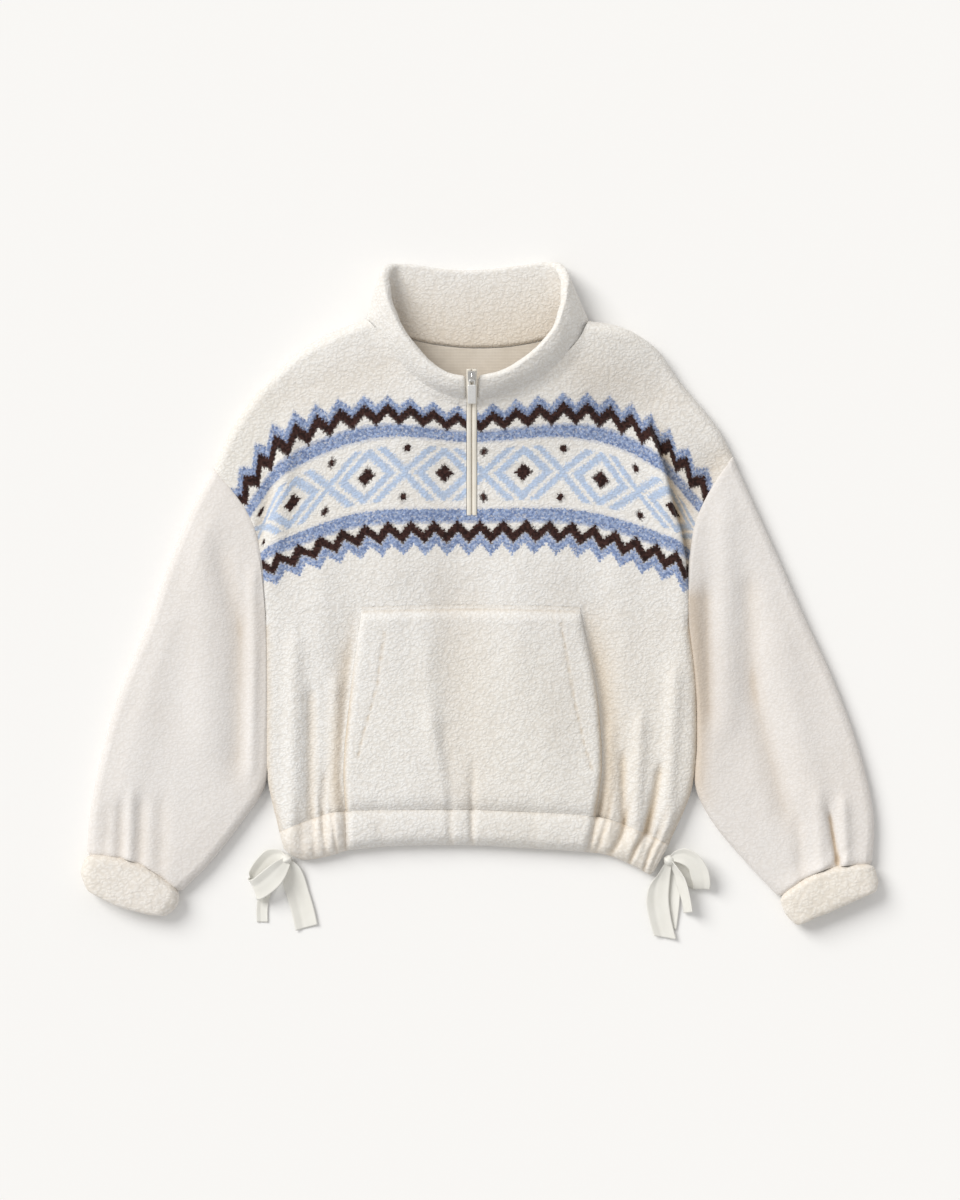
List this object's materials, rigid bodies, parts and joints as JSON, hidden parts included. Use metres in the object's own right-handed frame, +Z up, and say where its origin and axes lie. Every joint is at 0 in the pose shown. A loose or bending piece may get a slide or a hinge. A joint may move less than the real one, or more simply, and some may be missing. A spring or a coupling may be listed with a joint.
{
  "type": "fleece pullover top",
  "caption": "Sherpa fleece pullover top with a stand collar, half zip, patterned chest band, kangaroo pocket and ribbon bows at the hem, laid flat.",
  "frame": {"origin": "on the table under the middle of the garment's outline", "axes": "+X across the garment towards the viewer's right, +Y from hem to collar, +Z up off the table"},
  "size_m": [0.877, 0.749, 0.0636],
  "materials": {
    "cream_fleece": "sherpa pile",
    "trim_fleece": "sherpa pile",
    "sleeve_fleece": "sherpa pile",
    "facing": "smooth knit",
    "zip_tape": "woven",
    "zip_coil": "moulded",
    "zip_metal": "plated",
    "pull_enamel": "enamelled",
    "ribbon": "satin"
  },
  "bodies": {
    "garment": {"front": "cream_fleece", "back": "cream_fleece", "pocket": "cream_fleece", "collar": "cream_fleece", "hem_centre": "cream_fleece", "hem_left": "trim_fleece", "hem_right": "trim_fleece", "hem_back": "trim_fleece", "cuff_left": "trim_fleece", "cuff_right": "trim_fleece", "sleeve_left": "sleeve_fleece", "sleeve_right": "sleeve_fleece", "neck_tape": "facing", "zip_welt_left": "zip_tape", "zip_welt_right": "zip_tape", "zip_coil": "zip_coil", "zip_slider": "zip_metal", "bow_left": "ribbon", "bow_right": "ribbon"},
    "pull": {"zip_pull": "pull_enamel"}
  },
  "joints": [
    {"name": "zip_pull_hinge", "type": "hinge", "parent": "garment", "child": "pull", "pos_m": [-0.00855, 0.23924, 0.05968], "axis": [-1, 0, 0], "range_deg": [0, 170]}
  ]
}
